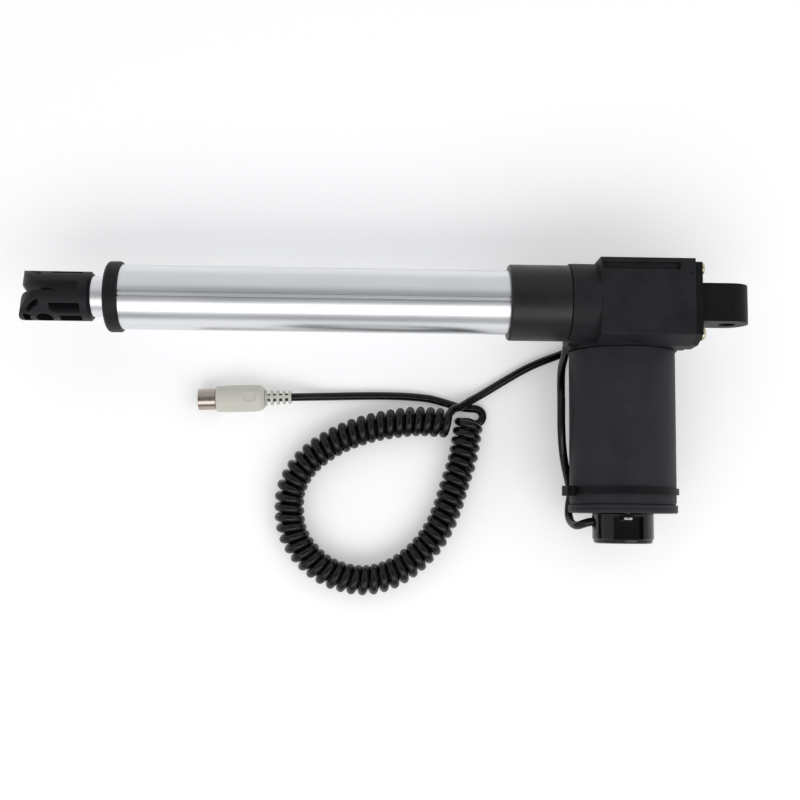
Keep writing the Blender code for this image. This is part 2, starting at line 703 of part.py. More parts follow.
def make_armature():
    rod("motor_shaft", MOTOR, 2.5, -118.0, 18.5, STEEL, 16)
    slots = 12
    loop = []
    for k in range(slots):
        middle = 2 * math.pi * k / slots
        for degrees, radius in ((-15, 9.4), (-6.5, 10.5), (-4.6, 17.8), (-11.5, 18.8), (-11.5, 20.8),
                                (11.5, 20.8), (11.5, 18.8), (4.6, 17.8), (6.5, 10.5)):
            angle = middle + math.radians(degrees)
            loop.append((radius * math.cos(angle), radius * math.sin(angle)))
    prism("armature_core", MOTOR, [loop, circle(2.8, 16)], -92.0, -50.0, STEEL)
    front = [(14.0, -44.0), (17.0, -46.0), (17.0, -49.7), (6.0, -49.7), (6.0, -46.0)]
    rear = [(17.0, -92.3), (17.0, -95.5), (14.0, -97.5), (6.0, -97.5), (6.0, -92.3)]
    windings = turned("armature_windings", MOTOR, front, COPPER, 24)
    join(windings, turned("join_rear_windings", MOTOR, rear, None, 24), winding_bars(slots))
    ring("commutator", MOTOR, 9.0, 2.8, -107.5, -98.0, COPPER, 18)
    for name, middle in (("upper_magnet", -QUARTER), ("lower_magnet", QUARTER)):
        span = math.radians(65)
        loop = arc(25.7, middle - span, middle + span, 10)
        loop += arc(21.4, middle + span, middle - span, 10)
        prism(name, MOTOR, [loop], -97.0, -42.0, MAGNET)


def winding_bars(count):
    """The coil sides that lie in the core's slots and join the two rings of end turns."""
    low = Vector((11.2, -1.2, -93.0))
    high = Vector((16.5, 1.2, -49.0))
    at = Matrix.Translation((low + high) / 2 * MM)
    size = Matrix.Diagonal(((high - low) * MM).to_4d())

    def one(bm, turn):
        bmesh.ops.create_cube(bm, size=1, matrix=turn @ at @ size)

    return around("join_coil_sides", MOTOR, count, one)


def make_brushes():
    holder = ring("brush_holder", MOTOR, 28.8, 10.0, -111.5, -108.3, NYLON, 32)
    for number, side in enumerate((-1, 1), 1):
        inner, outer = sorted((side * 11.0, side * 24.5))
        join(holder, box(f"join_brush_guide_{number}", MOTOR, (inner, -4.5, -109.0),
                         (outer, 4.5, -98.5)))
        room_in, room_out = sorted((side * 10.0, side * 23.0))
        cut(holder, box(f"cut_brush_room_{number}", MOTOR, (room_in, -3.3, -106.6),
                        (room_out, 3.3, -99.6)))
        low, high = sorted((side * 9.4, side * 17.0))
        box(f"carbon_brush_{number}", MOTOR, (low, -3.0, -106.3), (high, 3.0, -99.9), CARBON)
        make_spring(f"brush_spring_{number}", side, STEEL)


def make_spring(name, side, mat):
    turns, per_turn, wire = 3, 8, 0.35
    curve = bpy.data.curves.new(name, "CURVE")
    curve.dimensions = "3D"
    curve.bevel_depth = wire * MM
    curve.bevel_resolution = 1
    curve.use_fill_caps = True
    spline = curve.splines.new("POLY")
    count = turns * per_turn + 1
    spline.points.add(count - 1)
    for i, point in enumerate(spline.points):
        angle = 2 * math.pi * i / per_turn
        along = side * (17.8 + 4.6 * i / (count - 1))
        at = (along, 2.2 * math.cos(angle), -103.1 + 2.2 * math.sin(angle))
        point.co = (*(Vector(at) * MM), 1)
    obj = bpy.data.objects.new(name, curve)
    PARTS.objects.link(obj)
    obj.parent = MOTOR
    return as_mesh(obj, mat)


def make_switches():
    board_high = 15.2
    board_low = 14.0
    box("limit_switch_board", TUBE, (-board_high, -5.0, -329.0), (-board_low, 5.0, -80.2), BOARD)
    for name, tip, away in (("extend", NUT_FRONT_X - STROKE - 1.0, -1),
                            ("retract", NUT_BACK_X + 1.0, 1)):
        near, far = sorted((tip + away * 1.5, tip + away * 7.0))
        body = box(f"{name}_limit_switch", TUBE, (-13.7, -2.2, near), (-12.5, 2.2, far), BLACK)
        room, deep = sorted((tip, tip + away * 5.2))
        cut(body, box(f"cut_{name}_plunger", TUBE, (-13.4, -0.9, room), (-12.0, 0.9, deep)))
        start, end = sorted((tip, tip + away * 4.2))
        box(f"{name}_switch_plunger", TUBE, (-13.1, -0.6, start), (-12.5, 0.6, end), WHITE_PLASTIC)


def hull_outline(circles, grow, steps):
    """Outline of the band stretched round some circles of (x, y, radius)."""
    loop = []
    for i in range(steps):
        angle = 2 * math.pi * i / steps
        ux, uy = math.cos(angle), math.sin(angle)
        x, y, r = max(circles, key=lambda c: c[0] * ux + c[1] * uy + c[2])
        loop.append((x + (r + grow) * ux, y + (r + grow) * uy))
    return loop


def make_tie():
    """Cable tie round the motor cover and the cord on its left side."""
    band = 1.2
    cover = (0, 0, TIE_R - band)
    cord_r = COVER_R + CORD_R + 1.5 * GAP
    cord = (cord_r * math.cos(TIE_ANGLE), -cord_r * math.sin(TIE_ANGLE), CORD_R + 2 * GAP)
    loops = [hull_outline([cover, cord], band, 48), hull_outline([cover, cord], 0, 48)]
    low = TIE_Y - TIE_WIDTH / 2
    tie = prism("cable_tie", MOTOR, loops, low, low + TIE_WIDTH, GLOSS_BLACK)
    head = box("join_tie_head", MOTOR, (-3, -TIE_R - 4.8, TIE_Y - 3), (5, 0.7 - TIE_R, TIE_Y + 3),
               turn=(0, 0, -math.radians(68)))
    join(tie, head)


def catmull_rom(p0, p1, p2, p3, t):
    a = 2 * p1
    b = p2 - p0
    c = 2 * p0 - 5 * p1 + 4 * p2 - p3
    d = 3 * p1 - p0 - 3 * p2 + p3
    return (a + b * t + c * t * t + d * t * t * t) / 2


def smooth_route(points, spacing):
    """Evenly spaced points on the smooth curve through a route's points."""
    knots = [Vector(p) for p in points]
    knots = [2 * knots[0] - knots[1], *knots, 2 * knots[-1] - knots[-2]]
    fine = [knots[1]]
    for i in range(1, len(knots) - 2):
        fine += [catmull_rom(*knots[i - 1:i + 3], step / 20) for step in range(1, 21)]
    length = sum((b - a).length for a, b in zip(fine, fine[1:]))
    count = max(2, round(length / spacing))
    route = [fine[0]]
    travelled = 0
    for a, b in zip(fine, fine[1:]):
        travelled += (b - a).length
        if travelled >= length * len(route) / count and len(route) < count:
            route.append(b)
    return route + [fine[-1]]


def cord(name, points, radius, spacing, resolution):
    """A tube along a route, with filled caps."""
    route = smooth_route(points, spacing)
    curve = bpy.data.curves.new(name, "CURVE")
    curve.dimensions = "3D"
    curve.bevel_depth = radius * MM
    curve.bevel_resolution = resolution
    curve.use_fill_caps = True
    spline = curve.splines.new("POLY")
    spline.points.add(len(route) - 1)
    for point, at in zip(spline.points, route):
        point.co = (*(at * MM), 1)
    obj = bpy.data.objects.new(name, curve)
    PARTS.objects.link(obj)
    obj.parent = BASE
    as_mesh(obj, CORD)


def above_floor(height):
    return FLOOR_Z + height


def make_cord():
    lying = above_floor(CORD_R + 0.1)
    lead = [
        (-71.0, -128.0, -21.0),
        (-75.5, -128.2, -21.1),
        (-79.6, -129.3, -22.6),
        (-82.9, -130.5, -26.3),
        (-84.6, -130.0, -31.5),
        (-85.7, -127.6, -37.4),
        (-86.0, -123.6, -41.6),
        (-85.5, -117.6, -42.9),
        (-84.8, TIE_Y, -41.4),
        (-87.4, -101.0, -36.9),
        (-90.2, -92.0, -31.3),
        (-92.2, -82.0, -26.6),
        (-93.2, -70.0, -23.6),
        (-93.2, -57.0, -23.6),
        (-92.8, -45.0, -26.7),
        (-91.4, -35.0, -32.9),
        (-88.6, -27.0, -40.4),
        (-86.4, -20.0, -45.4),
        (-85.6, -13.0, -48.4),
        (-85.0, -6.5, -50.2),
        (-81.8, -1.2, -51.2),
        (-76.3, 0.6, lying),
        (-71.0, -2.4, lying),
        (-69.0, -8.2, lying),
        (-71.2, -13.8, lying),
        (-76.8, -17.4, lying),
        (-83.0, -20.4, lying),
        (-88.7, -23.0, lying),
        (-102.1, -28.3, lying),
        (-112.0, -33.0, lying),
        (-123.0, -39.4, lying),
        (-134.0, -46.2, lying),
        (-141.0, -50.5, -50.6),
        (-147.0, -54.0, -48.4),
        (-152.5, -57.6, -45.6),
        (-155.8, -60.2, -44.2),
        (-157.6, -62.9, -43.2),
    ]
    cord("cord_lead", lead, CORD_R, 7.0, 2)
    axis = above_floor(COIL_R + 0.1)
    coil = [(-160.5, -68.3), (-179.0, -67.3), (-196.0, -69.2), (-211.0, -72.5), (-226.0, -78.2),
            (-239.5, -86.2), (-250.3, -96.5), (-256.9, -109.5), (-257.9, -123.0),
            (-255.8, -136.0), (-249.0, -147.8), (-238.6, -157.4), (-227.2, -162.8),
            (-212.3, -165.3), (-197.5, -162.4), (-184.6, -155.0), (-173.8, -144.7),
            (-165.7, -132.6), (-160.3, -119.7), (-155.9, -105.0), (-151.4, -90.3),
            (-148.8, -75.5), (-147.4, -66.5)]
    cord("cord_coil", [(x, y, axis) for x, y in coil], COIL_R, 15.0, 4)
    plug_end = above_floor(PLUG_R + 0.1)
    tail = [
        (-140.6, -63.2, -45.2),
        (-144.2, -62.3, -47.2),
        (-149.0, -60.8, -49.9),
        (-154.4, -58.3, lying),
        (-162.9, -54.6, lying),
        (-172.0, -52.4, lying),
        (-185.0, -51.2, lying),
        (-201.7, -50.9, lying),
        (-218.0, -51.2, lying),
        (-234.4, -51.8, -50.9),
        (-246.0, -52.4, -48.2),
        (-256.4, -53.0, plug_end),
    ]
    cord("cord_plug_lead", tail, CORD_R, 8.0, 2)


def make_plug():
    """Five-pin plug; local Z points out of its mouth and zero is where its handle begins."""
    plug = frame("plug", BASE, (*PLUG_AT, above_floor(PLUG_R + 0.1)), (0, -QUARTER, PLUG_TURN))
    relief = [(5.2, -GAP), (5.2, -14.0), (4.2, -17.4), (0, -17.4)]
    turned("plug_strain_relief", plug, [(0, -GAP)] + relief, PLUG_GREY, 24)
    body = [(0, 30.0), (7.8, 30.0), (8.1, 26.0), (PLUG_R, 20.0), (PLUG_R, 8.0), (7.6, 2.5), (6.0, 0),
            (0, 0)]
    turned("plug_body", plug, body, PLUG_GREY, 28)
    ring("plug_shell", plug, 6.6, 5.9, 30.3, 41.0, NICKEL, 28)
    insert = rod("plug_insert", plug, 5.6, 30.3, 33.0, NYLON, 24)
    for number in range(5):
        angle = math.radians(-90 + 45 * number)
        at = (3.75 * math.cos(angle), 3.75 * math.sin(angle), 0)
        join(insert, rod(f"join_plug_pin_{number}", plug, 0.7, 32.0, 39.5, sides=8, at=at))


make_outer_tube()
make_front_cap()
make_rod_end()
make_nut()
wheel_keyway = make_screw()
make_bearings()
make_worm_wheel(wheel_keyway)
make_worm()
make_gearbox()
make_rear_plate()
make_end_cap(make_motor_housing())
make_armature()
make_brushes()
make_switches()
make_tie()
make_cord()
make_plug()
shade_round_pieces()
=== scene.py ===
"""Looks of the linear actuator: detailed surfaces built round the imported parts.

Shapes are in millimetres in a few local frames and become metres in the helpers. The cord's
route is in metres. The base frame is the tube's axis where the actuator's rear end is near zero.
"""
import json
import math

import bmesh
import bpy
from mathutils import Euler, Matrix, Vector


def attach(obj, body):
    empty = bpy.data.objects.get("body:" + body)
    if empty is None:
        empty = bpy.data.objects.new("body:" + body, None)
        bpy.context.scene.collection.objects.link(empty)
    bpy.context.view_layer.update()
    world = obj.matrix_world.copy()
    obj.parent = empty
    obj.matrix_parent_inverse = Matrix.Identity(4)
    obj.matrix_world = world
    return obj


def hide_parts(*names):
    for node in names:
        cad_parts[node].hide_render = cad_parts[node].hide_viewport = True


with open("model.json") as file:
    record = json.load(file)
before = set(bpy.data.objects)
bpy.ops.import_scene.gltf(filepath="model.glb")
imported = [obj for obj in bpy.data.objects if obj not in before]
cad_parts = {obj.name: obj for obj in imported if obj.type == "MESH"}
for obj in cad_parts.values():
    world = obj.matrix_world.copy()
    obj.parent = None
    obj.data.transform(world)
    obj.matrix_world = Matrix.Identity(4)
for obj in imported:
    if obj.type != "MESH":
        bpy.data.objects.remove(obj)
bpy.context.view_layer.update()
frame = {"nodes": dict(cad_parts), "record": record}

MM = 0.001
QUARTER = math.pi / 2
ROD_ROLL = math.radians(15)
GROOVE_ROLL = math.radians(4)
MOTOR_X = -56.8
FLOOR_Z = -54.2
PIN_X = -398.6
TUBE_R = 19.0
COVER_R = 31.7
PIN_HOLE_R = 5.0
PLATE_SCREWS = [(x, y) for y in (19.3, -19.3) for x in (-14, 14)]
CORD_R = 0.0025
COIL_R = 0.00935
COIL_TURNS = 55
COIL_STEPS = 16
# The jacket is a little thicker where it is coiled
COIL_SWELL = 1.08


def local_frame(at, turn):
    return BASE @ Matrix.Translation(Vector(at) * MM) @ Euler(turn).to_matrix().to_4x4()


BASE = Matrix.Translation((0.19975, 0.05865, 0.0542))
# Local Z along the tube; local X points down and local Y away from the motor
TUBE = local_frame((0, 0, 0), (0, QUARTER, 0))
# Local Z away from the motor's end cap; local X along the tube and local Y down
MOTOR = local_frame((MOTOR_X, 0, -21.0), (-QUARTER, 0, 0))
REAR_PIN = local_frame((1.6, 0, 0), (-QUARTER, 0, 0))
# Local Z along the tube; local Y along the front pin
FORK = TUBE @ Matrix.Rotation(-ROD_ROLL, 4, "Z")
# Local Z out of the plug's mouth and local X up
PLUG = local_frame((-274.4, -53.7, FLOOR_Z + 8.5), (0, -QUARTER, math.radians(2.2)))


# Materials

def add_node(tree, kind, inputs, **settings):
    node = tree.nodes.new(kind)
    for key, value in settings.items():
        setattr(node, key, value)
    for key, value in inputs.items():
        if isinstance(value, bpy.types.NodeSocket):
            tree.links.new(value, node.inputs[key])
        else:
            node.inputs[key].default_value = value
    return node


def noise(tree, coords, size_mm, stretch=(1, 1, 1), detail=3.0):
    """Noise of about 0 to 1 whose features are size_mm wide, longer along a stretched axis."""
    scale = [1 / (size_mm * MM * s) for s in stretch]
    mapping = add_node(tree, "ShaderNodeMapping", {"Vector": coords, "Scale": scale})
    made = add_node(tree, "ShaderNodeTexNoise",
                    {"Vector": mapping.outputs[0], "Scale": 1.0, "Detail": detail})
    return made.outputs["Fac"]


def spread(tree, value, low, high, start=0.3, end=0.7):
    made = add_node(tree, "ShaderNodeMapRange", {"Value": value, "From Min": start,
                    "From Max": end, "To Min": low, "To Max": high})
    return made.outputs[0]


def surface(name, colour, rough, metallic=0.0, grain=0.5, depth=0.02, stretch=(1, 1, 1),
            vary=0.25, rough_vary=0.08, cloud=14.0, coat=0.0, specular=0.5, anisotropic=0.0):
    """A material with a fine grain and broad clouding; grain, depth and cloud are in mm."""
    mat = bpy.data.materials.new(name)
    mat.use_nodes = True
    tree = mat.node_tree
    shader = tree.nodes["Principled BSDF"]
    coords = add_node(tree, "ShaderNodeTexCoord", {}).outputs["Object"]
    fine = noise(tree, coords, grain, stretch)
    broad = noise(tree, coords, cloud, [s ** 0.5 for s in stretch], 2.0)
    both = add_node(tree, "ShaderNodeMath", {0: fine, 1: broad}, operation="ADD").outputs[0]
    light = spread(tree, both, 1 - vary, 1 + vary, 0.7, 1.3)
    tint = add_node(tree, "ShaderNodeMix", {"A": (0, 0, 0, 1), "B": (*colour, 1), "Factor": light},
                    data_type="RGBA", clamp_factor=False)
    tree.links.new(tint.outputs["Result"], shader.inputs["Base Color"])
    roughness = spread(tree, both, rough - rough_vary, rough + rough_vary, 0.7, 1.3)
    tree.links.new(roughness, shader.inputs["Roughness"])
    bump = add_node(tree, "ShaderNodeBump", {"Height": fine, "Strength": 1.0,
                    "Distance": depth * MM})
    tree.links.new(bump.outputs[0], shader.inputs["Normal"])
    shader.inputs["Metallic"].default_value = metallic
    shader.inputs["Coat Weight"].default_value = coat
    shader.inputs["Specular IOR Level"].default_value = specular
    shader.inputs["Anisotropic"].default_value = anisotropic
    return mat


LONG = (1, 1, 60)
MOULDED = surface("moulded_black", (0.008, 0.008, 0.009), 0.48, grain=0.7, depth=0.03,
                  specular=0.2)
SLEEVE = surface("sleeve_black", (0.009, 0.009, 0.010), 0.4, grain=0.7, depth=0.04, specular=0.34)
PLATE = surface("satin_black", (0.005, 0.005, 0.006), 0.5, grain=0.7, depth=0.03,
                specular=0.14)
CASTING = surface("gearbox_black", (0.012, 0.0115, 0.014), 0.55, grain=0.9, depth=0.06, vary=0.4,
                  specular=0.2)
COVER = surface("motor_cover_black", (0.021, 0.020, 0.025), 0.6, grain=0.35, depth=0.012,
                specular=0.2)
GLOSS = surface("gloss_black", (0.004, 0.004, 0.005), 0.08, grain=6, depth=0.01, rough_vary=0.03,
                specular=0.35)
NYLON = surface("rod_end_nylon", (0.007, 0.007, 0.009), 0.5, grain=0.6, depth=0.03, vary=0.35,
                specular=0.25)
WHITE = surface("bearing_plastic", (0.72, 0.71, 0.67), 0.45)
ALUMINIUM = surface("satin_aluminium", (0.74, 0.75, 0.765), 0.3, 1.0, grain=0.12, depth=0.001,
                    stretch=LONG, vary=0.04, rough_vary=0.02, cloud=8)
STEEL = surface("bright_steel", (0.66, 0.66, 0.67), 0.22, 1.0, grain=0.2, depth=0.002, vary=0.06)
ROD_STEEL = surface("push_tube_steel", (0.80, 0.80, 0.82), 0.38, 1.0, grain=0.12, depth=0.002,
                    stretch=LONG, vary=0.05, rough_vary=0.04, cloud=3)
ZINC = surface("yellow_zinc", (0.62, 0.56, 0.42), 0.3, 1.0, grain=0.6, depth=0.004, vary=0.2,
               cloud=3)
BRONZE = surface("sintered_bronze", (0.50, 0.32, 0.16), 0.45, 1.0)
COPPER = surface("enamelled_copper", (0.55, 0.20, 0.08), 0.35, 1.0)
FERRITE = surface("ferrite", (0.05, 0.05, 0.055), 0.7)
CARBON = surface("carbon", (0.03, 0.03, 0.03), 0.8)
BOARD = surface("circuit_board", (0.03, 0.16, 0.07), 0.5)
CORD = surface("cord_black", (0.003, 0.003, 0.0035), 0.22, grain=0.8, depth=0.004, vary=0.2,
               specular=0.3)
PLUG_GREY = surface("plug_grey", (0.61, 0.60, 0.53), 0.45, grain=0.5, depth=0.012, vary=0.05,
                    specular=0.3)
NICKEL = surface("nickel", (0.42, 0.36, 0.32), 0.2, 1.0, grain=1.5, depth=0.004, vary=0.12)
RUBBER = surface("seal_rubber", (0.012, 0.012, 0.012), 0.7)


# Shapes

def new_piece(name, mesh, matrix):
    obj = bpy.data.objects.new(name, mesh)
    bpy.context.scene.collection.objects.link(obj)
    obj.matrix_world = matrix
    return obj


def rounded(loop, radius, steps=4):
    """A closed outline with its corners rounded; a point's third value is its own radius."""
    points = []
    count = len(loop)
    for i, point in enumerate(loop):
        here = Vector(point[:2])
        before = Vector(loop[i - 1][:2]) - here
        after = Vector(loop[(i + 1) % count][:2]) - here
        own = point[2] if len(point) > 2 else radius
        angle = before.angle(after)
        if own <= 0 or angle > math.pi - 0.1 or here.x == 0:
            points.append(here)
            continue
        run = min(own / math.tan(angle / 2), 0.45 * before.length, 0.45 * after.length)
        start = here + before.normalized() * run
        end = here + after.normalized() * run
        for step in range(steps + 1):
            t = step / steps
            points.append(start.lerp(here, t).lerp(here.lerp(end, t), t))
    return points


def turned(name, matrix, profile, radius=0.3, sides=96):
    """A solid turned about Z from a closed outline of (radius, height) points."""
    loop = rounded(profile, radius)
    bm = bmesh.new()
    rings = []
    for r, height in loop:
        if r < 1e-4:
            rings.append([bm.verts.new((0, 0, height * MM))] * sides)
            continue
        angles = [2 * math.pi * k / sides for k in range(sides)]
        rings.append([bm.verts.new((r * math.cos(a) * MM, r * math.sin(a) * MM, height * MM))
                      for a in angles])
    for i, ring in enumerate(rings):
        below = rings[(i + 1) % len(rings)]
        if ring[0] is ring[1] and below[0] is below[1]:
            continue
        for k in range(sides):
            j = (k + 1) % sides
            corners = list(dict.fromkeys((ring[k], ring[j], below[j], below[k])))
            bm.faces.new(corners)
    return from_bmesh(name, matrix, bm)


def from_bmesh(name, matrix, bm):
    bmesh.ops.recalc_face_normals(bm, faces=bm.faces)
    mesh = bpy.data.meshes.new(name)
    bm.to_mesh(mesh)
    bm.free()
    return new_piece(name, mesh, matrix)


def rod(matrix, radius, low, high, at=(0, 0), sides=48):
    moved = matrix @ Matrix.Translation((at[0] * MM, at[1] * MM, 0))
    return turned("tool", moved, [(0, high), (radius, high), (radius, low), (0, low)], 0, sides)


def box(matrix, low, high):
    bm = bmesh.new()
    size = Vector(high) - Vector(low)
    middle = (Vector(high) + Vector(low)) / 2
    at = Matrix.Translation(middle * MM) @ Matrix.Diagonal((size * MM).to_4d())
    bmesh.ops.create_cube(bm, size=1, matrix=at)
    return from_bmesh("tool", matrix, bm)


def prism(name, matrix, loops, low, high):
    """Flat outlines, holes included, extruded along Z from low to high."""
    curve = bpy.data.curves.new(name, "CURVE")
    curve.dimensions = "2D"
    curve.fill_mode = "BOTH"
    curve.extrude = (high - low) / 2 * MM
    for loop in loops:
        spline = curve.splines.new("POLY")
        spline.points.add(len(loop) - 1)
        for point, (x, y) in zip(spline.points, loop):
            point.co = (x * MM, y * MM, 0, 1)
        spline.use_cyclic_u = True
    flat = new_piece(name, curve, Matrix.Translation((0, 0, (high + low) / 2 * MM)))
    bpy.context.view_layer.update()
    mesh = bpy.data.meshes.new_from_object(flat.evaluated_get(
        bpy.context.evaluated_depsgraph_get()))
    mesh.transform(flat.matrix_world)
    bpy.data.objects.remove(flat)
    bm = bmesh.new()
    bm.from_mesh(mesh)
    bmesh.ops.remove_doubles(bm, verts=bm.verts, dist=1e-6)
    return from_bmesh(name, matrix, bm)


def arc(radius, start, end, steps, centre=(0, 0)):
    angles = [start + (end - start) * i / steps for i in range(steps + 1)]
    return [(centre[0] + radius * math.cos(a), centre[1] + radius * math.sin(a)) for a in angles]


def circle(radius, sides=96):
    return arc(radius, 0, 2 * math.pi, sides)[:-1]


def apply_modifiers(obj):
    bpy.context.view_layer.update()
    graph = bpy.context.evaluated_depsgraph_get()
    mesh = bpy.data.meshes.new_from_object(obj.evaluated_get(graph))
    obj.modifiers.clear()
    obj.data = mesh


def combine(obj, operation, tools):
    for tool in tools:
        mod = obj.modifiers.new("combine", "BOOLEAN")
        mod.operation = operation
        mod.solver = "EXACT"
        mod.object = tool
    apply_modifiers(obj)
    for tool in tools:
        bpy.data.objects.remove(tool)


def cut(obj, *tools):
    combine(obj, "DIFFERENCE", tools)


def join(obj, *tools):
    combine(obj, "UNION", tools)


def dress(obj, mat, body, *nodes, slot=None, bevel=0.0, sharp=32):
    """Rounds and smooths a piece, gives it its material and puts it in place of CAD nodes."""
    if bevel:
        mod = obj.modifiers.new("edges", "BEVEL")
        mod.width = bevel * MM
        mod.segments = 3
        mod.limit_method = "ANGLE"
        mod.angle_limit = math.radians(sharp)
        apply_modifiers(obj)
    obj.data.shade_smooth()
    obj.data.set_sharp_from_angle(angle=math.radians(sharp + 8))
    weighted = obj.modifiers.new("normals", "WEIGHTED_NORMAL")
    weighted.keep_sharp = True
    obj.data.materials.clear()
    obj.data.materials.append(mat)
    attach(obj, body)
    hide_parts(*nodes)
    return obj


# Cord

def catmull_rom(p0, p1, p2, p3, t):
    a = 2 * p1
    b = p2 - p0
    c = 2 * p0 - 5 * p1 + 4 * p2 - p3
    d = 3 * p1 - p0 - 3 * p2 + p3
    return (a + b * t + c * t * t + d * t * t * t) / 2


def smooth_route(points, steps):
    knots = [Vector(p) for p in points]
    knots = [2 * knots[0] - knots[1], *knots, 2 * knots[-1] - knots[-2]]
    route = [knots[1]]
    for i in range(1, len(knots) - 2):
        route += [catmull_rom(*knots[i - 1:i + 3], step / steps) for step in range(1, steps + 1)]
    return route


LYING = FLOOR_Z * MM + CORD_R + 0.0001
LEAD = [
    (-0.0710, -0.1280, -0.0210), (-0.0755, -0.1282, -0.0211), (-0.0796, -0.1293, -0.0226),
    (-0.0829, -0.1305, -0.0263), (-0.0846, -0.1300, -0.0315), (-0.0857, -0.1276, -0.0374),
    (-0.0860, -0.1236, -0.0416), (-0.0855, -0.1176, -0.0429), (-0.0848, -0.1102, -0.0414),
    (-0.0874, -0.1010, -0.0369), (-0.0902, -0.0920, -0.0313), (-0.0922, -0.0820, -0.0266),
    (-0.0932, -0.0700, -0.0236), (-0.0932, -0.0570, -0.0236), (-0.0928, -0.0450, -0.0267),
    (-0.0914, -0.0350, -0.0329), (-0.0886, -0.0270, -0.0404), (-0.0864, -0.0200, -0.0454),
    (-0.0856, -0.0130, -0.0484), (-0.0850, -0.0065, -0.0502), (-0.0818, -0.0012, -0.0512),
    (-0.0763, 0.0006, LYING), (-0.0710, -0.0024, LYING), (-0.0690, -0.0082, LYING),
    (-0.0712, -0.0138, LYING), (-0.0768, -0.0174, LYING), (-0.0830, -0.0204, LYING),
    (-0.0887, -0.0230, LYING), (-0.1021, -0.0283, LYING), (-0.1120, -0.0330, LYING),
    (-0.1230, -0.0394, LYING), (-0.1340, -0.0462, LYING), (-0.1410, -0.0505, -0.0506),
    (-0.1470, -0.0540, -0.0484), (-0.1525, -0.0576, -0.0456), (-0.1572, -0.0595, -0.0431),
]
COIL = [
    (-0.1605, -0.0683), (-0.1790, -0.0673), (-0.1960, -0.0692), (-0.2110, -0.0725),
    (-0.2260, -0.0782), (-0.2395, -0.0862), (-0.2503, -0.0965), (-0.2569, -0.1095),
    (-0.2579, -0.1230), (-0.2558, -0.1360), (-0.2490, -0.1478), (-0.2386, -0.1574),
    (-0.2272, -0.1628), (-0.2123, -0.1653), (-0.1975, -0.1624), (-0.1846, -0.1550),
    (-0.1738, -0.1447), (-0.1657, -0.1326), (-0.1603, -0.1197), (-0.1559, -0.1050),
    (-0.1514, -0.0903), (-0.1488, -0.0755), (-0.1474, -0.0665),
]
TAIL = [
    (-0.1432, -0.0678, LYING), (-0.1397, -0.0665, LYING), (-0.1383, -0.0631, LYING),
    (-0.1397, -0.0598, LYING), (-0.1431, -0.0584, LYING), (-0.1480, -0.0581, LYING),
    (-0.1550, -0.0570, LYING), (-0.1629, -0.0546, LYING),
    (-0.1720, -0.0524, LYING), (-0.1850, -0.0512, LYING), (-0.2017, -0.0509, LYING),
    (-0.2180, -0.0512, LYING), (-0.2344, -0.0518, -0.0509), (-0.2460, -0.0524, -0.0482),
    (-0.2564, -0.0530, -0.0457), (-0.2725, -0.0536, -0.0457),
]


def make_coil_points():
    """The left-handed helix along the coil's own line, from where the lead joins it."""
    height = FLOOR_Z * MM + COIL_R + 0.0001
    line = smooth_route([(x, y, height) for x, y in COIL], 24)
    lengths = [0.0]
    for a, b in zip(line, line[1:]):
        lengths.append(lengths[-1] + (b - a).length)
    start, end = math.radians(40), 2 * math.pi * COIL_TURNS - math.radians(90)
    count = COIL_TURNS * COIL_STEPS
    radius = COIL_R - CORD_R * COIL_SWELL
    points = []
    spot = 0
    for i in range(count + 1):
        along = lengths[-1] * i / count
        while spot < len(line) - 2 and lengths[spot + 1] < along:
            spot += 1
        share = (along - lengths[spot]) / (lengths[spot + 1] - lengths[spot])
        centre = line[spot].lerp(line[spot + 1], share)
        heading = (line[spot + 1] - line[spot]).normalized()
        right = heading.cross(Vector((0, 0, 1)))
        angle = start + (end - start) * i / count
        points.append(centre + right * radius * math.cos(angle)
                      + Vector((0, 0, radius * math.sin(angle))))
    return points


def make_cord(with_pieces):
    coil = make_coil_points()
    lead = smooth_route(LEAD + [tuple(p) for p in coil[:3]], 5)[:-10]
    tail = smooth_route([tuple(p) for p in coil[-3:]] + TAIL, 5)[10:]
    route = lead + coil[1:-1] + tail
    curve = bpy.data.curves.new("supply_cord", "CURVE")
    curve.dimensions = "3D"
    curve.bevel_depth = CORD_R
    curve.bevel_resolution = 5
    curve.use_fill_caps = True
    spline = curve.splines.new("POLY")
    spline.points.add(len(route) - 1)
    for i, (point, at) in enumerate(zip(spline.points, route)):
        point.co = (*at, 1)
        inside = min(i - len(lead), len(route) - len(tail) - i)
        point.radius = 1 + (COIL_SWELL - 1) * min(max(inside / COIL_STEPS, 0), 1)
    spline.use_smooth = True
    curve.materials.append(CORD)
    obj = new_piece("supply_cord", curve, BASE)
    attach(obj, "housing")
    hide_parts("cord_lead", "cord_coil", "cord_plug_lead")


# Tube and rod

def make_outer_tube():
    top = math.pi + GROOVE_ROLL
    half = math.asin(1.85 / TUBE_R)
    loop = arc(TUBE_R, top + half, top - half + 2 * math.pi, 140)
    groove = [(17.7, top - half * 0.96), (17.7, top - half * 0.46), (18.9, top - half * 0.42),
              (18.65, top + half * 0.42), (17.7, top + half * 0.46), (17.7, top + half * 0.96)]
    loop += [(r * math.cos(a), r * math.sin(a)) for r, a in groove]
    tube = prism("outer_tube_shell", TUBE, [loop, circle(16.5, 72)], -354.6, -79.6)
    dress(tube, ALUMINIUM, "housing", "outer_tube", slot="satin_aluminium", bevel=0.15, sharp=40)


